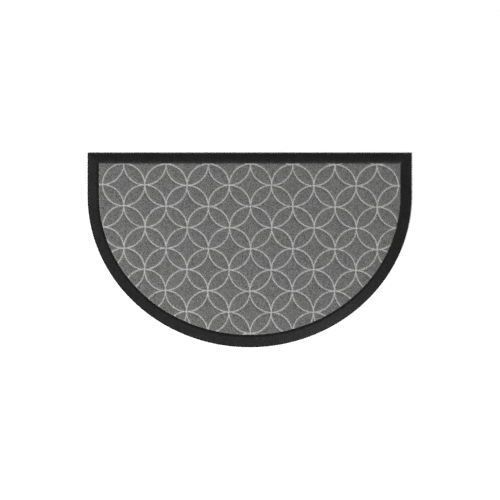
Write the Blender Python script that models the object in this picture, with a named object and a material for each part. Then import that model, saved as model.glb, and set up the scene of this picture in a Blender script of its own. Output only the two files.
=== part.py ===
"""Half round doormat, 750 by 450 mm: a moulded rubber base with a bevelled border, and a needle-felt
face that lies in its recess, with overlapping circles pressed into it.

Metres, +Z up. The origin is under the middle of the mat, the straight edge is at +Y (against the door)
and the curved edge at -Y.
"""

import math

import bmesh
import bpy
from mathutils import Matrix, Vector
from mathutils.geometry import delaunay_2d_cdt

MM = 0.001

# Outline: a straight back, two straight sides, then half an ellipse
WIDTH = 750 * MM
DEPTH = 450 * MM
SIDE_RUN = 100 * MM
CURVE_STEPS = 96

# Rubber border, measured from the mat's edge in to the felt
BORDER_BACK = 24 * MM
BORDER_SIDE = 26 * MM
BORDER_FRONT = 28 * MM

# Heights above the floor
RIM_HEIGHT = 1.6 * MM
SHOULDER_HEIGHT = 7.6 * MM
CREST_HEIGHT = 8.0 * MM
LIP_HEIGHT = 6.6 * MM
RECESS_HEIGHT = 2.5 * MM

# The border's section, from the mat's edge in to the recess
BORDER_SECTION = (
    # share of the border's width, height
    (0.00, 0.0),
    (0.00, RIM_HEIGHT),
    (0.79, SHOULDER_HEIGHT),
    (0.85, CREST_HEIGHT),
    (0.90, 7.8 * MM),
    (1.00, LIP_HEIGHT),
    (1.00, RECESS_HEIGHT),
)

# Felt face
CLEARANCE = 0.3 * MM
FELT_TOP = 7.2 * MM
FELT_EDGE_DROP = 0.6 * MM
FELT_EDGE_WIDTH = 3.0 * MM

# Pressed circles: each one passes through the middles of the four beside it, a diagonal step away.
# The outermost are centred this many columns, a radius apart, to each side of the middle one.
CIRCLE_RADIUS = 48.8 * MM
PATTERN_X = 1.8 * MM
PATTERN_FROM_BACK = 76.1 * MM
PATTERN_TURN = math.radians(-0.23)
PATTERN_COLUMNS = 7
GROOVE_DEPTH = 1.3 * MM
GROOVE_SHOULDER = 3.0 * MM
ARC_STEPS = 6

# The press left the circles a little out of true: two slow waves along each axis
WANDER = 0.6 * MM
WANDER_LENGTH_X = 330 * MM
WANDER_LENGTH_Y = 270 * MM

SHORTEST_EDGE = 0.25 * MM


def inset_outline(back, side, front):
    """The mat's outline drawn in by these widths, anticlockwise from the back right corner."""
    half_width = WIDTH / 2 - side
    reach = DEPTH - SIDE_RUN - front
    curve_y = DEPTH / 2 - SIDE_RUN
    points = [Vector((half_width, DEPTH / 2 - back)), Vector((-half_width, DEPTH / 2 - back))]
    for step in range(CURVE_STEPS + 1):
        turn = math.pi * step / CURVE_STEPS
        points.append(Vector((-half_width * math.cos(turn), curve_y - reach * math.sin(turn))))
    return points


def felt_outline(inset):
    """The felt's edge, drawn in by this much from the rubber lip."""
    return inset_outline(BORDER_BACK + inset, BORDER_SIDE + inset, BORDER_FRONT + inset)


def wander(x, y):
    """How far the press shifted the pattern at this place on the mat."""
    along = 2 * math.pi * x / WANDER_LENGTH_X
    across = 2 * math.pi * y / WANDER_LENGTH_Y
    return Vector((WANDER * math.sin(across + 0.8), WANDER * math.sin(along + across / 2 - 0.5)))


def pattern_from_mat(place):
    """A place on the mat, in the pattern's own axes, where circles stand on a true grid."""
    middle = Vector((PATTERN_X, DEPTH / 2 - PATTERN_FROM_BACK))
    return Matrix.Rotation(-PATTERN_TURN, 2) @ (place - middle - wander(place.x, place.y))


def mat_from_pattern(drawn):
    """The place on the mat of a point given in the pattern's own axes."""
    middle = Vector((PATTERN_X, DEPTH / 2 - PATTERN_FROM_BACK))
    level = middle + Matrix.Rotation(PATTERN_TURN, 2) @ drawn
    place = level
    for _ in range(3):
        place = level + wander(place.x, place.y)
    return place


def circle_centres():
    """The centres of every circle that reaches the felt, in the pattern's own axes."""
    highest = PATTERN_FROM_BACK - BORDER_BACK + CIRCLE_RADIUS
    lowest = PATTERN_FROM_BACK - DEPTH + BORDER_FRONT - CIRCLE_RADIUS
    centres = []
    for row in range(math.floor(lowest / CIRCLE_RADIUS), math.ceil(highest / CIRCLE_RADIUS) + 1):
        for column in range(-PATTERN_COLUMNS, PATTERN_COLUMNS + 1):
            if (row + column) % 2 == 0:
                centres.append(Vector((column, row)) * CIRCLE_RADIUS)
    return centres


def arc(centre, radius, start, end):
    """Points along an arc without its last one, so that arcs follow on from each other."""
    turns = [start + (end - start) * step / ARC_STEPS for step in range(ARC_STEPS)]
    return [centre + radius * Vector((math.cos(turn), math.sin(turn))) for turn in turns]


def petal(centre, quarter):
    """The raised leaf between this circle and the one a diagonal step away, inside both grooves."""
    radius = CIRCLE_RADIUS - GROOVE_SHOULDER
    tip = math.acos(CIRCLE_RADIUS / math.sqrt(2) / radius)
    facing = math.pi / 4 + quarter * math.pi / 2
    step = CIRCLE_RADIUS * math.sqrt(2) * Vector((math.cos(facing), math.sin(facing)))
    near = arc(centre, radius, facing - tip, facing + tip)
    far = arc(centre + step, radius, facing + math.pi - tip, facing + math.pi + tip)
    return near + far


def lozenge(centre):
    """The raised four-pointed field in a circle's middle, outside the grooves of its four neighbours."""
    radius = CIRCLE_RADIUS + GROOVE_SHOULDER
    cusp = math.acos(CIRCLE_RADIUS / radius)
    points = []
    for quarter in range(4):
        facing = math.pi / 4 + quarter * math.pi / 2
        step = CIRCLE_RADIUS * math.sqrt(2) * Vector((math.cos(facing), math.sin(facing)))
        start = facing + math.pi + math.pi / 4 - cusp
        end = facing + math.pi - math.pi / 4 + cusp
        points += arc(centre + step, radius, start, end)
    return points


def groove_share(place):
    """1 in the bottom of a pressed groove, 0 on the raised felt beside it."""
    drawn = pattern_from_mat(place) / CIRCLE_RADIUS
    nearest = GROOVE_SHOULDER / CIRCLE_RADIUS
    for row in range(math.floor(drawn.y) - 1, math.floor(drawn.y) + 3):
        for column in range(math.floor(drawn.x) - 1, math.floor(drawn.x) + 3):
            if (row + column) % 2 == 0 and abs(column) <= PATTERN_COLUMNS:
                nearest = min(nearest, abs((drawn - Vector((column, row))).length - 1))
    return 1 - nearest * CIRCLE_RADIUS / GROOVE_SHOULDER


def edge_share(place):
    """1 on the felt's edge, 0 where its rounded edge is over."""
    half_width = WIDTH / 2 - BORDER_SIDE - CLEARANCE
    back = DEPTH / 2 - BORDER_BACK - CLEARANCE
    curve_y = DEPTH / 2 - SIDE_RUN
    inward = min(half_width - abs(place.x), back - place.y)
    if place.y < curve_y:
        reach = DEPTH - SIDE_RUN - BORDER_FRONT - CLEARANCE
        from_middle = math.hypot(place.x / half_width, (place.y - curve_y) / reach)
        inward = (1 - from_middle) * reach
    return 1 - min(max(inward / FELT_EDGE_WIDTH, 0), 1)


def felt_height(place):
    edge = edge_share(place)
    sunk = max(GROOVE_DEPTH * groove_share(place), FELT_EDGE_DROP * edge * edge)
    return FELT_TOP - sunk


def felt_plan():
    """The felt's top as flat triangles: its edge, the grooves' centre lines and the raised fields."""
    places = []
    lines = []

    def add_loop(loop):
        first = len(places)
        places.extend(loop)
        for index in range(len(loop)):
            lines.append((first + index, first + (index + 1) % len(loop)))

    edge = felt_outline(CLEARANCE)
    add_loop(edge)
    add_loop(felt_outline(CLEARANCE + FELT_EDGE_WIDTH))
    for centre in circle_centres():
        whole = [point for quarter in range(4)
                 for point in arc(centre, CIRCLE_RADIUS, quarter * math.pi / 2, (quarter + 1) * math.pi / 2)]
        add_loop([mat_from_pattern(point) for point in whole])
        add_loop([mat_from_pattern(point) for point in lozenge(centre)])
        for quarter, side in ((0, 1), (1, -1)):
            if abs(centre.x + side * CIRCLE_RADIUS) < (PATTERN_COLUMNS + 0.5) * CIRCLE_RADIUS:
                add_loop([mat_from_pattern(point) for point in petal(centre, quarter)])
    felt = [list(range(len(edge)))]
    found = delaunay_2d_cdt(places, lines, felt, 0, SHORTEST_EDGE / 10)
    corners, triangles, inside = found[0], found[2], found[5]
    return corners, [triangle for triangle, faces in zip(triangles, inside) if faces]


def material(name, colour, roughness):
    made = bpy.data.materials.new(name)
    made.use_nodes = True
    shader = made.node_tree.nodes["Principled BSDF"]
    shader.inputs["Base Color"].default_value = (*colour, 1)
    shader.inputs["Roughness"].default_value = roughness
    shader.inputs["Metallic"].default_value = 0
    return made


def add_object(name, mesh, finish):
    bmesh.ops.recalc_face_normals(mesh, faces=mesh.faces)
    data = bpy.data.meshes.new(name)
    mesh.to_mesh(data)
    mesh.free()
    data.materials.append(finish)
    made = bpy.data.objects.new(name, data)
    bpy.context.collection.objects.link(made)
    return made


def add_rubber_base(finish):
    """The border's section carried round the mat, closed by the underside and the recess floor."""
    mesh = bmesh.new()
    rings = []
    for share, height in BORDER_SECTION:
        ring = inset_outline(share * BORDER_BACK, share * BORDER_SIDE, share * BORDER_FRONT)
        rings.append([mesh.verts.new((*point, height)) for point in ring])
    for outer, inner in zip(rings, rings[1:]):
        for index in range(len(outer)):
            after = (index + 1) % len(outer)
            mesh.faces.new((outer[index], outer[after], inner[after], inner[index]))
    mesh.faces.new(rings[0])
    mesh.faces.new(rings[-1])
    return add_object("rubber_base", mesh, finish)


def add_felt_face(finish):
    """The pressed top, its side wall down to the recess floor, and a flat underside."""
    mesh = bmesh.new()
    corners, triangles = felt_plan()
    used = sorted({index for triangle in triangles for index in triangle})
    points = {index: mesh.verts.new((*corners[index], felt_height(corners[index]))) for index in used}
    for triangle in triangles:
        mesh.faces.new([points[index] for index in triangle])
    bmesh.ops.dissolve_degenerate(mesh, dist=SHORTEST_EDGE, edges=mesh.edges)
    bmesh.ops.triangulate(mesh, faces=mesh.faces)
    rim = [edge for edge in mesh.edges if edge.is_boundary]
    wall = bmesh.ops.extrude_edge_only(mesh, edges=rim)["geom"]
    for corner in wall:
        if isinstance(corner, bmesh.types.BMVert):
            corner.co.z = RECESS_HEIGHT + CLEARANCE
    hem = [item for item in wall if isinstance(item, bmesh.types.BMEdge) and item.is_boundary]
    underside = bmesh.ops.edgeloop_fill(mesh, edges=hem)["faces"]
    bmesh.ops.poke(mesh, faces=underside)
    return add_object("felt_face", mesh, finish)


def main():
    for old in list(bpy.data.objects):
        bpy.data.objects.remove(old)
    add_rubber_base(material("black rubber", (0.022, 0.022, 0.023), 0.55))
    add_felt_face(material("grey felt", (0.15, 0.15, 0.15), 0.95))


main()
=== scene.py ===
"""Half round doormat: the looks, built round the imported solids.

A moulded rubber base with a bevelled border carries a grey needle-felt face. Overlapping circles are
pressed into the felt, where its fibres lie flat and look lighter. Metres, +Z up. The straight edge,
against the door, is at +Y. The light comes from the front left.
"""

import math

import bpy
import numpy as np
from bpy.props import FloatProperty, FloatVectorProperty, IntProperty, PointerProperty
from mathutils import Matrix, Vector
from mathutils.geometry import delaunay_2d_cdt


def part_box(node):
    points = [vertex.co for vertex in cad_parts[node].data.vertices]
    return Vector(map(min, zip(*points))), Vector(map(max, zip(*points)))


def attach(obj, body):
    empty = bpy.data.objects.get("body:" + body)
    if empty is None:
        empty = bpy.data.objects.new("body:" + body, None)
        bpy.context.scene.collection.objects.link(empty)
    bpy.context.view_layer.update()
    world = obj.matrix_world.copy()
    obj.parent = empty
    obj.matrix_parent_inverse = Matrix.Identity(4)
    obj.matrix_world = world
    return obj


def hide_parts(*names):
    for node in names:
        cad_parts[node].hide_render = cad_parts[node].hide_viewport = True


bl_info = {
    "name": "Half round doormat",
    "version": (1, 0, 0),
    "blender": (4, 5, 0),
    "location": "3D View > Sidebar > Doormat",
    "description": "Builds a half round doormat with a rubber border and a pressed felt face",
    "category": "Add Mesh",
}

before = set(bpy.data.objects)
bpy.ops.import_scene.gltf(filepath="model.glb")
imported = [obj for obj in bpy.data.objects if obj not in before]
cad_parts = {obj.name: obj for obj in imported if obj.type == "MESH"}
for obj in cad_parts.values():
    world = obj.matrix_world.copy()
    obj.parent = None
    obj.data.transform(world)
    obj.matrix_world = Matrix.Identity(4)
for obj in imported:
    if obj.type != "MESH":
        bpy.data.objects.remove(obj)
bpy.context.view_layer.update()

MM = 0.001
BODY = "root"
BASE_LOW, BASE_HIGH = (Vector(corner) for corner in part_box("rubber_base"))
FELT_LOW, FELT_HIGH = (Vector(corner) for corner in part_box("felt_face"))
WIDTH = BASE_HIGH.x - BASE_LOW.x
CREST = BASE_HIGH.z
BACK_Y = BASE_HIGH.y

# The outline: a straight back, two straight sides, then half an ellipse
SIDE_RUN = 100 * MM
CURVE_Y = BACK_Y - SIDE_RUN

# The rubber border, from the mat's edge in to the felt, and the clearance left round the felt
BORDER_BACK = 24 * MM
BORDER_SIDE = 26 * MM
BORDER_FRONT = 28 * MM
CLEARANCE = 0.3 * MM

# The border's section. The crest stands a little proud of the felt and falls to it in a short inner slope.
# Its colour carries painted light and shade: the outer rim is painted dark as shade, and the crest and
# inner slope at the back are painted pale as a highlight
BORDER_SECTION = (
    # share of the border's width, height in millimetres, painted light and shade, painted light and shade
    # along the back
    (0.004, 0.0, 0.2, 0.2),
    (0.000, 0.2, 0.2, 0.2),
    (0.000, 1.2, 0.2, 0.2),
    (0.008, 1.55, 0.2, 0.2),
    (0.030, 1.85, 0.2, 0.2),
    (0.070, 2.18, 0.35, 0.35),
    (0.105, 2.46, 1.1, 0.9),
    (0.200, 3.20, 1.1, 0.8),
    (0.400, 4.75, 1.0, 0.9),
    (0.600, 6.25, 1.0, 1.1),
    (0.740, 7.25, 1.0, 1.4),
    (0.790, 7.62, 1.0, 1.7),
    (0.820, 7.88, 1.0, 1.9),
    (0.850, 8.00, 1.0, 2.0),
    (0.875, 7.94, 1.0, 2.0),
    (0.900, 7.72, 0.9, 2.0),
    (0.950, 7.18, 0.9, 2.0),
    (0.985, 6.78, 0.9, 1.8),
    (0.997, 6.60, 0.8, 1.2),
    (1.000, 6.40, 0.5, 0.6),
    (1.000, 2.50, 0.5, 0.5),
)
CURVE_STEPS = 300
STRAIGHT_STEP = 8 * MM
MITRE_ANGLE = math.radians(17)
CREST_LUMP = 60 * MM
CREST_SEED = 21

# The pressed circles: each passes through the middles of its neighbours a diagonal step away. The
# outermost are centred this many columns, a radius apart, to each side of the middle one
PATTERN_COLUMNS = 7
CIRCLE_RADIUS = 48.8 * MM
PATTERN_X = 1.8 * MM
PATTERN_Y = BACK_Y - 76.1 * MM
PATTERN_TURN = math.radians(-0.23)
WANDER = 0.6 * MM
WANDER_LENGTH_X = 330 * MM
WANDER_LENGTH_Y = 270 * MM

# The felt: how far its fields lie below its box's top before they swell, how far from a line they have
# swollen most of the way up, its rounded edge, and its small unevenness
FELT_SUNK = 0.6 * MM
SWELL_REACH = 4.5 * MM
EDGE_DROP = 0.7 * MM
EDGE_WIDTH = 3.2 * MM
EDGE_ANGLE = math.radians(50)
LUMPS = (
    # size, height, seed
    (22 * MM, 0.12 * MM, 3),
    (4 * MM, 0.08 * MM, 5),
)

# How far a pressed line's sides stray, and the length and seed of the straying
STRAY = 0.15 * MM
STRAY_LENGTH = 3 * MM
STRAY_SEED = 11

# The felt was laid a little off the middle of its recess, and its edge is ragged
SLACK_LEFT = 0.55 * MM
SLACK_RIGHT = 0
SLACK_BACK = 0.15 * MM
SLACK_FRONT = 0.85 * MM
RAGGED = 0.3 * MM
RAGGED_LENGTH = 6 * MM
RAGGED_SEED = 31

# Offsets from a circle line at which the felt's mesh has points, and the spacing along and between them
LINE_OFFSETS = (0, 0.6 * MM, 1.1 * MM, 1.6 * MM, 2.2 * MM, 3.2 * MM)
LINE_STEP = 2.7 * MM
FIELD_STEP = 2.3 * MM

# How far inside the felt's edge its mesh has rings of points, how near them no others lie, how near the
# edge no line's points lie, and what counts as the same place
EDGE_RINGS = (0.5 * MM, 1.2 * MM, 2.2 * MM, 3.4 * MM)
RING_ROOM = 0.35 * MM
EDGE_ROOM = 1.0 * MM
NEAR = 0.05 * MM
MERGE = 0.02 * MM

# Fibres: their shades, how far their tips are sunk into the felt, how high they may lie over it, and how
# near the felt's edge their middles lie
FIBRES = (
    # name, brightness beside the felt under them, whether they lie in the pressed lines
    ("felt_fibres_dark", 0.76, False),
    ("felt_fibres_mid", 1.05, False),
    ("felt_fibres_light", 1.4, False),
    ("felt_fibres_pressed", 1.12, True),
)
FIBRE_SEED = 100
TIP_SUNK = 0.05 * MM
LIFT = 0.3 * MM
PRESSED_LIFT = 0.08 * MM
FIBRE_ROOM = 0.3 * MM

# The studio. The gleams show as gloss alone, each where the border's bevel mirrors it to the camera
PICTURE_WIDTH = 500
CAMERA_OFFSET = (0.43, 0.1)
LIGHTS = (
    # name, setting that gives its power, share of that, size, place, whether it shows as gloss alone
    ("key light", "key_power", 1.0, 1.5, (-2.5, -2.5, 2.4), False),
    ("fill light", "fill_power", 1.0, 2.2, (2.6, 2.4, 3.0), False),
    ("front right gleam", "gleam_power", 1.0, 0.9, (1.2, -1.86, 2.34), True),
    ("front gleam", "gleam_power", 0.28, 1.4, (-0.7, -2.0, 2.34), True),
    ("left gleam", "gleam_power", 0.3, 0.9, (-2.2, 0.65, 2.32), True),
)
FLOOR_RADIUS = 9.0
FLOOR_SIDES = 96
FLOOR_Z = -0.4 * MM
FLOOR_SHADES = ((0.83, 0.83, 0.83, 1), (0.87, 0.87, 0.87, 1))
WALLS_STRENGTH = 1.3
WALLS_STOPS = (
    # height from the horizon at 0 to straight above at 1, colour
    (0.1, (0.95, 0.95, 0.95)),
    (0.75, (0.12, 0.12, 0.12)),
)

# Places in a colour Mix node's lists of sockets
MIX_FACTOR, MIX_A, MIX_B, MIX_RESULT = 0, 6, 7, 2


class RubberSettings(bpy.types.PropertyGroup):
    """The moulded rubber base."""

    colour: FloatVectorProperty(
        name="Colour", description="Black of the moulded rubber", subtype="COLOR",
        size=3, min=0, max=1, default=(0.00485, 0.00485, 0.00495),
    )
    roughness: FloatProperty(
        name="Roughness", description="How dull the rubber is", subtype="FACTOR",
        min=0, max=1, default=0.42,
    )
    unevenness: FloatProperty(
        name="Unevenness", description="How far the crest strays from level",
        unit="LENGTH", min=0, default=0.12 * MM,
    )


class FeltSettings(bpy.types.PropertyGroup):
    """The needle-felt face and the circles pressed into it."""

    field_colour: FloatVectorProperty(
        name="Field", description="Grey of the raised felt", subtype="COLOR",
        size=3, min=0, max=1, default=(0.1405, 0.1402, 0.1386),
    )
    pressed_colour: FloatVectorProperty(
        name="Pressed lines", description="Lighter grey where the fibres are pressed flat",
        subtype="COLOR", size=3, min=0, max=1, default=(0.374, 0.373, 0.369),
    )
    groove_depth: FloatProperty(
        name="Groove depth", description="How deep the circles are pressed",
        unit="LENGTH", min=0, default=1.0 * MM,
    )
    line_width: FloatProperty(
        name="Line width", description="Width of a pressed line at half its depth",
        unit="LENGTH", min=0.5 * MM, default=2.75 * MM,
    )
    pillow: FloatProperty(
        name="Pillow", description="How far the felt swells between the lines",
        unit="LENGTH", min=0, default=0.9 * MM,
    )
    fibres: IntProperty(
        name="Fibres", description="Loose fibres of each shade", min=0, max=33000, default=32000,
    )
    fibre_length: FloatProperty(
        name="Fibre length", description="Mean length of the loose fibres",
        unit="LENGTH", min=1 * MM, default=5 * MM,
    )
    fibre_width: FloatProperty(
        name="Fibre width", description="Thickness of a loose fibre, or a wisp of them",
        unit="LENGTH", min=0.05 * MM, default=0.26 * MM,
    )


class StudioSettings(bpy.types.PropertyGroup):
    """The camera, the floor and the lights."""

    view_width: FloatProperty(
        name="View width", description="Width that the picture takes in at the floor",
        unit="LENGTH", default=1.1577,
    )
    lens: FloatProperty(
        name="Lens", description="Focal length of the camera", unit="CAMERA", default=85,
    )
    key_power: FloatProperty(
        name="Key light", description="Power of the soft light at the front left",
        unit="POWER", default=300,
    )
    fill_power: FloatProperty(
        name="Fill light", description="Power of the weaker light at the back right",
        unit="POWER", default=52,
    )
    gleam_power: FloatProperty(
        name="Gleam", description="Power of the small lights that the rubber's bevel mirrors",
        unit="POWER", default=10.4,
    )


def inset_outline(back, side, front):
    """The mat's edge drawn in by these widths, as points anticlockwise from the back right corner."""
    half_width = WIDTH / 2 - side
    reach = CURVE_Y - BASE_LOW.y - front
    back_y = BACK_Y - back
    across = np.linspace(half_width, -half_width, round(WIDTH / STRAIGHT_STEP) + 1)
    down = np.linspace(back_y, CURVE_Y, round(SIDE_RUN / STRAIGHT_STEP) + 1)
    turn = np.linspace(0, math.pi, CURVE_STEPS + 1)[1:]
    x = np.concatenate([
        across, np.full(len(down) - 1, -half_width), -half_width * np.cos(turn),
        np.full(len(down) - 2, half_width),
    ])
    y = np.concatenate([
        np.full(len(across), back_y), down[1:], CURVE_Y - reach * np.sin(turn), down[::-1][1:-1],
    ])
    return np.stack([x, y], axis=1)


def way_in(places, back, side, front):
    """How far inside the outline drawn in by these widths each place lies, below zero outside."""
    half_width = WIDTH / 2 - side
    reach = CURVE_Y - BASE_LOW.y - front
    x, y = places[:, 0], places[:, 1]
    straight = np.minimum(half_width - np.abs(x), BACK_Y - back - y)
    from_middle = np.hypot(x / half_width, (y - CURVE_Y) / reach)
    steepness = np.hypot(x / half_width**2, (y - CURVE_Y) / reach**2) / np.maximum(from_middle, 1e-9)
    curved = (1 - from_middle) / np.maximum(steepness, 1e-9)
    return np.where(y < CURVE_Y, curved, straight)


def felt_way_in(places):
    return way_in(places, BORDER_BACK + CLEARANCE, BORDER_SIDE + CLEARANCE, BORDER_FRONT + CLEARANCE)


def wander(places):
    """How far the press shifted the pattern at each place on the mat."""
    along = 2 * math.pi * places[:, 0] / WANDER_LENGTH_X
    across = 2 * math.pi * places[:, 1] / WANDER_LENGTH_Y
    return WANDER * np.stack([np.sin(across + 0.8), np.sin(along + across / 2 - 0.5)], axis=1)


def turned(places, angle):
    cosine, sine = math.cos(angle), math.sin(angle)
    x, y = places[:, 0], places[:, 1]
    return np.stack([cosine * x - sine * y, sine * x + cosine * y], axis=1)


def mat_from_pattern(drawn):
    """Places on the mat of points given in the pattern's own axes, where circles stand on a true grid."""
    level = turned(drawn, PATTERN_TURN) + (PATTERN_X, PATTERN_Y)
    places = level
    for _ in range(3):
        places = level + wander(places)
    return places


def line_distance(places):
    """How far each place is from the nearest circle line."""
    drawn = turned(places - (PATTERN_X, PATTERN_Y) - wander(places), -PATTERN_TURN) / CIRCLE_RADIUS
    column, row = np.floor(drawn).T
    nearest = np.full(len(places), np.inf)
    for step_x in range(-1, 3):
        for step_y in range(-1, 3):
            real = (column + step_x + row + step_y) % 2 == 0
            real &= np.abs(column + step_x) <= PATTERN_COLUMNS
            away = np.abs(np.hypot(drawn[:, 0] - column - step_x, drawn[:, 1] - row - step_y) - 1)
            nearest = np.where(real & (away < nearest), away, nearest)
    return nearest * CIRCLE_RADIUS


def eased(value, start, end):
    """0 before start, 1 after end, and a smooth rise between them."""
    share = np.clip((value - start) / (end - start), 0, 1)
    return share * share * (3 - 2 * share)


def lumps(places, size, seed):
    """Soft random unevenness from -1 to 1 whose lumps are about this wide: a few turned waves."""
    draw = np.random.default_rng(seed)
    total = np.zeros(len(places))
    waves = 7
    for _ in range(waves):
        angle, phase = draw.uniform(0, 2 * math.pi, 2)
        length = size * draw.uniform(1.4, 2.6)
        way = places[:, 0] * math.cos(angle) + places[:, 1] * math.sin(angle)
        total += np.sin(2 * math.pi * way / length + phase)
    return total / waves


def pressed_share(places, settings):
    """1 in the bottom of a pressed line, 0 on the raised felt."""
    half = settings.line_width / 2
    stray = STRAY * lumps(places, STRAY_LENGTH, STRAY_SEED)
    return 1 - eased(line_distance(places) + stray, 0.55 * half, 1.45 * half)


def felt_height(places, settings):
    """The felt's top: swollen fields, pressed lines, a rounded edge and small unevenness."""
    swelling = settings.pillow * (1 - np.exp(-((line_distance(places) / SWELL_REACH) ** 1.5)))
    height = FELT_HIGH.z - FELT_SUNK + swelling - settings.groove_depth * pressed_share(places, settings)
    for size, tall, seed in LUMPS:
        height += tall * lumps(places, size, seed)
    return height - EDGE_DROP * (1 - eased(felt_way_in(places), 0, EDGE_WIDTH))


class Wire:
    """A value or colour on its way through a material, so that shader sums read as plain Python."""

    def __init__(self, nodes, socket):
        self.nodes = nodes
        self.socket = socket

    def maths(self, operation, first, second):
        return self.nodes.node("ShaderNodeMath", {"operation": operation}, {0: first, 1: second})

    def __add__(self, other):
        return self.maths("ADD", self, other)

    def __radd__(self, other):
        return self.maths("ADD", other, self)

    def __sub__(self, other):
        return self.maths("SUBTRACT", self, other)

    def __rsub__(self, other):
        return self.maths("SUBTRACT", other, self)

    def __mul__(self, other):
        return self.maths("MULTIPLY", self, other)

    def __rmul__(self, other):
        return self.maths("MULTIPLY", other, self)


class Nodes:
    """A node tree and the one method that adds nodes to it."""

    def __init__(self, tree):
        self.tree = tree

    def node(self, kind, settings=None, sockets=None, output=0):
        """Adds a node, sets it, then fills its sockets, and returns one of its outputs."""
        made = self.tree.nodes.new(kind)
        for name, value in (settings or {}).items():
            if name == "stops":
                self.set_stops(made.color_ramp, value)
            else:
                setattr(made, name, value)
        for name, value in (sockets or {}).items():
            self.fill(made.inputs[name], value)
        return Wire(self, made.outputs[output])

    def set_stops(self, ramp, stops):
        while len(ramp.elements) < len(stops):
            ramp.elements.new(1)
        for element, (position, colour) in zip(ramp.elements, stops):
            element.position = position
            element.color = (*colour, 1)

    def fill(self, socket, value):
        if isinstance(value, Wire):
            self.tree.links.new(value.socket, socket)
        else:
            socket.default_value = value


class Finish(Nodes):
    """One surface finish: a material and its shader."""

    def __init__(self, name, uniform):
        self.material = bpy.data.materials.new(name)
        self.material.use_nodes = True
        super().__init__(self.material.node_tree)
        self.shader = self.tree.nodes["Principled BSDF"]
        for socket, value in uniform.items():
            self.shader.inputs[socket].default_value = value
        self.place = self.node("ShaderNodeTexCoord", output="Object")

    def noise(self, size, detail=2, roughness=0.5):
        """Soft noise from 0 to 1 whose lumps are about this wide."""
        sockets = {"Vector": self.place, "Scale": 1 / size, "Detail": detail, "Roughness": roughness}
        return self.node("ShaderNodeTexNoise", {}, sockets)

    def mixed(self, factor, first, second, blend="MIX"):
        """Two colours mixed by a factor."""
        settings = {"data_type": "RGBA", "blend_type": blend}
        sockets = {MIX_FACTOR: factor, MIX_A: first, MIX_B: second}
        return self.node("ShaderNodeMix", settings, sockets, MIX_RESULT)

    def grey(self, value):
        """A value as a colour with red, green and blue alike."""
        return self.node("ShaderNodeCombineColor", {}, {"Red": value, "Green": value, "Blue": value})

    def surface(self, **wires):
        """Links the shader's sockets by name, with underscores for spaces."""
        for name, wire in wires.items():
            self.fill(self.shader.inputs[name.replace("_", " ")], wire)
        return self.material

    def bump(self, height, distance, strength=1.0):
        sockets = {"Height": height, "Distance": distance, "Strength": strength}
        return self.node("ShaderNodeBump", {}, sockets)


def rubber_finish(settings):
    """Satin black moulded rubber with a fine grain, blotches, faint cloudiness and a little dust."""
    finish = Finish("black moulded rubber", {"Specular IOR Level": 0.3})
    # The shade attribute is painted light and shade: it darkens the rim as painted shade and brightens the
    # back crest as a painted highlight
    shade = finish.node("ShaderNodeAttribute", {"attribute_name": "shade"}, {}, "Fac")
    grain = finish.noise(1.6 * MM, 3, 0.6)
    blotches = finish.noise(8 * MM, 3, 0.6)
    clouds = finish.noise(35 * MM, 3)
    colour = (*settings.colour, 1)
    lighter = (*(2.2 * value for value in settings.colour), 1)
    dusty = 1.1 * grain + 2.2 * blotches + 0.7 * clouds - 1.65
    return finish.surface(
        Base_Color=finish.mixed(1.0, finish.mixed(dusty, colour, lighter), finish.grey(shade), "MULTIPLY"),
        Roughness=settings.roughness - 0.1 + 0.1 * grain + 0.1 * blotches,
        Normal=finish.bump(grain + 2.5 * blotches + 0.8 * clouds, 0.25 * MM, 0.5),
    )


def felt_finish(settings):
    """Grey needle felt, with lighter and smoother lines where it was pressed."""
    finish = Finish("grey needle felt", {"Specular IOR Level": 0.15, "Sheen Weight": 0.1})
    pressed = finish.node("ShaderNodeAttribute", {"attribute_name": "pressed"}, {}, "Fac")
    wisps = finish.noise(1.9 * MM, 4, 0.7)
    tufts = finish.noise(6 * MM, 2)
    patches = finish.noise(70 * MM, 2)
    field = (*settings.field_colour, 1)
    tint = finish.mixed(patches, (1.03, 1.02, 0.95, 1), (0.97, 0.99, 1.05, 1))
    mottle = finish.grey(0.65 + 0.4 * wisps + 0.3 * tufts)
    colour = finish.mixed(pressed, field, (*settings.pressed_colour, 1))
    colour = finish.mixed(1.0, colour, tint, "MULTIPLY")
    colour = finish.mixed(1.0, colour, mottle, "MULTIPLY")
    return finish.surface(
        Base_Color=colour,
        Roughness=0.95 - 0.25 * pressed,
        Normal=finish.bump(wisps * (1 - 0.6 * pressed), 0.5 * MM, 0.7),
    )


def fibre_finish(name, shade):
    """The polyester of one shade of loose fibre."""
    finish = Finish(name, {"Base Color": (*shade, 1), "Roughness": 0.8, "Specular IOR Level": 0.25})
    return finish.material


def add_piece(name, points, faces, finish):
    """A mesh object from arrays of points and of faces with equal numbers of corners, or lists of both."""
    data = bpy.data.meshes.new(name)
    data.from_pydata(points, [], faces)
    data.update()
    data.materials.append(finish)
    made = bpy.data.objects.new(name, data)
    bpy.context.scene.collection.objects.link(made)
    return made


def add_triangles(name, points, triangles, finish):
    """A mesh object of many triangles, filled straight from arrays."""
    data = bpy.data.meshes.new(name)
    data.vertices.add(len(points))
    data.vertices.foreach_set("co", points.astype(np.float32).ravel())
    data.loops.add(3 * len(triangles))
    data.loops.foreach_set("vertex_index", triangles.astype(np.int32).ravel())
    data.polygons.add(len(triangles))
    data.polygons.foreach_set("loop_start", np.arange(0, 3 * len(triangles), 3, dtype=np.int32))
    data.update(calc_edges=True)
    data.materials.append(finish)
    made = bpy.data.objects.new(name, data)
    bpy.context.scene.collection.objects.link(made)
    return made


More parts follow.
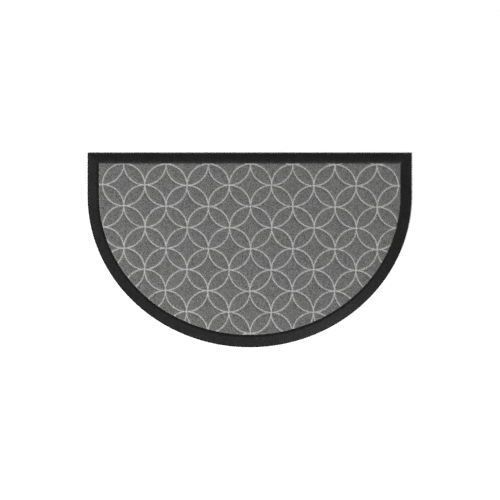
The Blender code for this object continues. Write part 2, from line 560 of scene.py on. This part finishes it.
class DOORMAT_OT_rubber_base(bpy.types.Operator):
    """Builds the moulded rubber base, with its bevelled border and the recess for the felt"""

    bl_idname = "doormat.rubber_base"
    bl_label = "Rubber base"

    def execute(self, context):
        settings = context.scene.doormat_rubber
        rings = []
        painted_light_rings = []
        # Each ring takes its painted light and shade from the section, with its own values along the back
        for share, height, shade, back_painted_light in BORDER_SECTION:
            ring = inset_outline(share * BORDER_BACK, share * BORDER_SIDE, share * BORDER_FRONT)
            raised = height * MM / CREST * settings.unevenness * lumps(ring, CREST_LUMP, CREST_SEED)
            rings.append(np.column_stack([ring, height * MM + raised]))
            at_back = ring[:, 1] > BACK_Y - share * BORDER_BACK - NEAR
            painted_light_rings.append(np.where(at_back, back_painted_light, shade))
        count = len(rings[0])
        faces = [tuple(range(count))[::-1]]
        for level in range(len(rings) - 1):
            for index in range(count):
                after = (index + 1) % count
                low, high = level * count, (level + 1) * count
                faces.append((low + index, low + after, high + after, high + index))
        faces.append(tuple(range((len(rings) - 1) * count, len(rings) * count)))
        points = np.concatenate(rings).tolist()
        base = add_piece("rubber_base_moulded", points, faces, rubber_finish(settings))
        base.data.shade_smooth()
        base.data.set_sharp_from_angle(angle=MITRE_ANGLE)
        # The shade attribute carries the painted light and shade to the rubber's colour
        shade = base.data.attributes.new("shade", "FLOAT", "POINT")
        shade.data.foreach_set("value", np.concatenate(painted_light_rings).astype(np.float32))
        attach(base, BODY)
        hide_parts("rubber_base")
        return {"FINISHED"}


def felt_edge():
    """The felt's ragged outline, anticlockwise."""
    outline = inset_outline(BORDER_BACK + CLEARANCE + SLACK_BACK,
                            BORDER_SIDE + CLEARANCE + (SLACK_LEFT + SLACK_RIGHT) / 2,
                            BORDER_FRONT + CLEARANCE + SLACK_FRONT)
    outline = outline + ((SLACK_LEFT - SLACK_RIGHT) / 2, 0)
    along = np.roll(outline, -1, axis=0) - np.roll(outline, 1, axis=0)
    outward = np.stack([along[:, 1], -along[:, 0]], axis=1) / np.linalg.norm(along, axis=1, keepdims=True)
    return outline - RAGGED * (1 + lumps(outline, RAGGED_LENGTH, RAGGED_SEED))[:, None] * outward


def felt_plan():
    """The felt's top seen from above, as points and triangles that follow the pressed lines."""
    outline = felt_edge()
    points = [np.concatenate([beside_line(centre, offset) for centre in circle_centres()])
              for offset in sorted({side * offset for offset in LINE_OFFSETS for side in (1, -1)})]
    points.append(field_points())
    inner = np.concatenate(points)
    inner = inner[felt_way_in(inner) > EDGE_ROOM]
    for inset in EDGE_RINGS:
        ring = inset_outline(BORDER_BACK + CLEARANCE + inset, BORDER_SIDE + CLEARANCE + inset,
                             BORDER_FRONT + CLEARANCE + inset)
        inner = inner[np.abs(felt_way_in(inner) - inset) > RING_ROOM]
        inner = np.concatenate([inner, ring[felt_way_in(ring) > 0.8 * inset]])
    places = [Vector(place) for place in np.concatenate([outline, inner])]
    edge = list(range(len(outline)))
    loop = [(index, (index + 1) % len(edge)) for index in edge]
    found = delaunay_2d_cdt(places, loop, [edge], 0, MERGE)
    corners = np.array([tuple(corner) for corner in found[0]])
    triangles = np.array([triangle for triangle, inside in zip(found[2], found[5]) if inside])
    return corners, triangles


def circle_centres():
    """The centres of every circle that reaches the felt, in the pattern's own axes."""
    rows_up = math.ceil((BACK_Y - PATTERN_Y + CIRCLE_RADIUS) / CIRCLE_RADIUS)
    rows_down = math.ceil((PATTERN_Y - BASE_LOW.y + CIRCLE_RADIUS) / CIRCLE_RADIUS)
    return [CIRCLE_RADIUS * np.array([column, row])
            for row in range(-rows_down, rows_up + 1)
            for column in range(-PATTERN_COLUMNS, PATTERN_COLUMNS + 1) if (row + column) % 2 == 0]


def beside_line(centre, offset):
    """Points along one circle at an offset from its line, where no other circle's line is nearer."""
    count = 4 * round(math.pi / 2 * (CIRCLE_RADIUS + offset) / LINE_STEP)
    turn = np.linspace(0, 2 * math.pi, count, endpoint=False)
    drawn = centre + (CIRCLE_RADIUS + offset) * np.stack([np.cos(turn), np.sin(turn)], axis=1)
    places = mat_from_pattern(drawn)
    return places[line_distance(places) > abs(offset) - NEAR]


def field_points():
    """Points of an even triangular net over the fields between the lines."""
    across = np.arange(-WIDTH / 2, WIDTH / 2, FIELD_STEP)
    up = np.arange(BASE_LOW.y, BACK_Y, FIELD_STEP * math.sqrt(3) / 2)
    x, y = np.meshgrid(across, up)
    x = x + FIELD_STEP / 2 * (np.arange(len(up)) % 2)[:, None]
    places = np.stack([x.ravel(), y.ravel()], axis=1)
    return places[line_distance(places) > LINE_OFFSETS[-1] + 0.5 * FIELD_STEP]


class DOORMAT_OT_felt_face(bpy.types.Operator):
    """Builds the felt face with its pressed circles, set into the rubber base's recess"""

    bl_idname = "doormat.felt_face"
    bl_label = "Felt face"

    def execute(self, context):
        settings = context.scene.doormat_felt
        plan, triangles = felt_plan()
        top = np.column_stack([plan, felt_height(plan, settings)])
        bottom = np.column_stack([plan, np.full(len(plan), FELT_LOW.z)])
        ends = np.concatenate([triangles[:, [0, 1]], triangles[:, [1, 2]], triangles[:, [2, 0]]])
        seen = set(map(tuple, ends.tolist()))
        rim = np.array([(a, b) for a, b in seen if (b, a) not in seen])
        wall = np.concatenate([
            np.stack([rim[:, 1], rim[:, 0], rim[:, 0] + len(plan)], axis=1),
            np.stack([rim[:, 1], rim[:, 0] + len(plan), rim[:, 1] + len(plan)], axis=1),
        ])
        middle = 2 * len(plan)
        floor = np.stack([rim[:, 1] + len(plan), rim[:, 0] + len(plan), np.full(len(rim), middle)], axis=1)
        points = np.concatenate([top, bottom, [[0, 0, FELT_LOW.z]]])
        faces = np.concatenate([triangles, wall, floor])
        used, faces = np.unique(faces, return_inverse=True)
        points = points[used]
        felt = add_triangles("felt_face_pressed", points, faces.reshape(-1, 3), felt_finish(settings))
        felt.data.shade_smooth()
        felt.data.set_sharp_from_angle(angle=EDGE_ANGLE)
        pressed = felt.data.attributes.new("pressed", "FLOAT", "POINT")
        pressed.data.foreach_set("value", pressed_share(points[:, :2], settings).astype(np.float32))
        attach(felt, BODY)
        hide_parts("felt_face")
        return {"FINISHED"}


def fibre_mesh(places, turn, length, width, bend, lift, settings):
    """Closed spindles that lie on the felt: two tips sunk in its surface and a three-cornered waist."""
    way = np.stack([np.cos(turn), np.sin(turn)], axis=1)
    side = np.stack([-way[:, 1], way[:, 0]], axis=1)
    waist = places + side * bend[:, None]
    ends = [places - way * length[:, None] / 2, places + way * length[:, None] / 2]
    tips = [np.column_stack([end, felt_height(end, settings) - TIP_SUNK]) for end in ends]
    ground = felt_height(waist, settings) + lift
    corners = []
    for across, up in ((-0.5, 0.0), (0.5, 0.0), (0.0, 0.8)):
        corners.append(np.column_stack([waist + side * (across * width)[:, None], ground + up * width]))
    points = np.stack([*tips, *corners], axis=1).reshape(-1, 3)
    one = np.array([(0, 3, 2), (0, 4, 3), (0, 2, 4), (1, 2, 3), (1, 3, 4), (1, 4, 2)])
    faces = (5 * np.arange(len(places))[:, None, None] + one).reshape(-1, 3)
    return points, faces


def scattered(count, draw, wanted):
    """Random places over the felt that pass a test."""
    found = np.empty((0, 2))
    while len(found) < count:
        tried = draw.uniform((FELT_LOW.x, FELT_LOW.y), (FELT_HIGH.x, FELT_HIGH.y), (2 * count, 2))
        tried = tried[felt_way_in(tried) > FIBRE_ROOM]
        found = np.concatenate([found, tried[wanted(tried)]])
    return found[:count]


class DOORMAT_OT_felt_fibres(bpy.types.Operator):
    """Scatters the loose fibres of the felt, in three shades, and the flat ones in the pressed lines"""

    bl_idname = "doormat.felt_fibres"
    bl_label = "Felt fibres"

    def execute(self, context):
        settings = context.scene.doormat_felt
        half = settings.line_width / 2
        for order, (name, brightness, in_lines) in enumerate(FIBRES):
            draw = np.random.default_rng(FIBRE_SEED + order)
            felt_colour = settings.pressed_colour if in_lines else settings.field_colour
            colour = brightness * np.array(felt_colour)

            def wanted(tried, in_lines=in_lines):
                away = line_distance(tried)
                return away < 0.7 * half if in_lines else away > 1.3 * half

            places = scattered(settings.fibres, draw, wanted)
            count = len(places)
            shorter = 0.6 if in_lines else 1
            length = shorter * settings.fibre_length * draw.uniform(0.5, 1.5, count)
            turn = draw.uniform(0, 2 * math.pi, count)
            width = settings.fibre_width * draw.uniform(0.6, 1.4, count)
            bend = length * draw.uniform(-0.18, 0.18, count)
            lift = draw.uniform(0, PRESSED_LIFT if in_lines else LIFT, count)
            points, faces = fibre_mesh(places, turn, length, width, bend, lift, settings)
            fibres = add_triangles(name, points, faces, fibre_finish(name.replace("_", " "), colour))
            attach(fibres, BODY)
        return {"FINISHED"}


class DOORMAT_OT_studio(bpy.types.Operator):
    """Sets up the camera straight above the mat, the white floor and the soft lights"""

    bl_idname = "doormat.studio"
    bl_label = "Studio"

    def execute(self, context):
        settings = context.scene.doormat_studio
        self.add_camera(context, settings)
        self.add_floor()
        for name, setting, share, size, place, gloss in LIGHTS:
            self.add_light(context, name, share * getattr(settings, setting), size, Vector(place), gloss)
        self.add_surroundings(context)
        context.scene.view_settings.view_transform = "Standard"
        context.scene.cycles.use_denoising = False
        return {"FINISHED"}

    def add_camera(self, context, settings):
        data = bpy.data.cameras.new("camera")
        data.lens = settings.lens
        camera = bpy.data.objects.new("camera", data)
        distance = settings.view_width * settings.lens / data.sensor_width
        pixel = settings.view_width / PICTURE_WIDTH
        camera.location = (CAMERA_OFFSET[0] * pixel, CAMERA_OFFSET[1] * pixel, distance)
        context.scene.collection.objects.link(camera)
        context.scene.camera = camera

    def add_floor(self):
        turns = np.linspace(0, 2 * math.pi, FLOOR_SIDES, endpoint=False)
        ring = [(FLOOR_RADIUS * math.cos(turn), FLOOR_RADIUS * math.sin(turn), FLOOR_Z) for turn in turns]
        finish = Finish("white studio floor", {"Specular IOR Level": 0.0, "Roughness": 1.0})
        shade = finish.mixed(finish.noise(0.4), *FLOOR_SHADES)
        floor = add_piece("studio_floor", ring, [tuple(range(len(ring)))], finish.surface(Base_Color=shade))

    def add_light(self, context, name, power, size, place, gloss):
        data = bpy.data.lights.new(name, "AREA")
        data.energy = power
        data.shape = "DISK"
        data.size = size
        light = bpy.data.objects.new(name, data)
        light.location = place
        light.rotation_euler = (-place).to_track_quat("-Z", "Y").to_euler()
        light.visible_diffuse = not gloss
        light.visible_glossy = gloss
        context.scene.collection.objects.link(light)

    def add_surroundings(self, context):
        """Pale walls round the floor and a dimmer ceiling."""
        world = bpy.data.worlds.new("studio walls")
        world.use_nodes = True
        context.scene.world = world
        nodes = Nodes(world.node_tree)
        background = world.node_tree.nodes["Background"]
        place = nodes.node("ShaderNodeTexCoord", output="Generated")
        height = nodes.node("ShaderNodeSeparateXYZ", {}, {"Vector": place}, "Z")
        walls = nodes.node("ShaderNodeValToRGB", {"stops": WALLS_STOPS}, {"Fac": height}, "Color")
        nodes.fill(background.inputs["Color"], walls)
        nodes.fill(background.inputs["Strength"], WALLS_STRENGTH)


class DOORMAT_PT_panel(bpy.types.Panel):
    """Lists the doormat's pieces and their settings"""

    bl_idname = "DOORMAT_PT_panel"
    bl_label = "Half round doormat"
    bl_space_type = "VIEW_3D"
    bl_region_type = "UI"
    bl_category = "Doormat"

    def draw(self, context):
        for settings in SETTINGS:
            group = getattr(context.scene, settings)
            box = self.layout.box()
            for name in group.__annotations__:
                box.prop(group, name)
        for operator in OPERATORS:
            self.layout.operator(operator.bl_idname)


SETTINGS = {
    "doormat_rubber": RubberSettings,
    "doormat_felt": FeltSettings,
    "doormat_studio": StudioSettings,
}
OPERATORS = (
    DOORMAT_OT_rubber_base, DOORMAT_OT_felt_face, DOORMAT_OT_felt_fibres, DOORMAT_OT_studio,
)
CLASSES = (*SETTINGS.values(), *OPERATORS, DOORMAT_PT_panel)


def register():
    for item in CLASSES:
        bpy.utils.register_class(item)
    for name, group in SETTINGS.items():
        setattr(bpy.types.Scene, name, PointerProperty(type=group))


def unregister():
    for name in SETTINGS:
        delattr(bpy.types.Scene, name)
    for item in reversed(CLASSES):
        bpy.utils.unregister_class(item)


def main():
    register()
    bpy.ops.doormat.rubber_base()
    bpy.ops.doormat.felt_face()
    bpy.ops.doormat.felt_fibres()
    bpy.ops.doormat.studio()


if __name__ == "__main__":
    main()
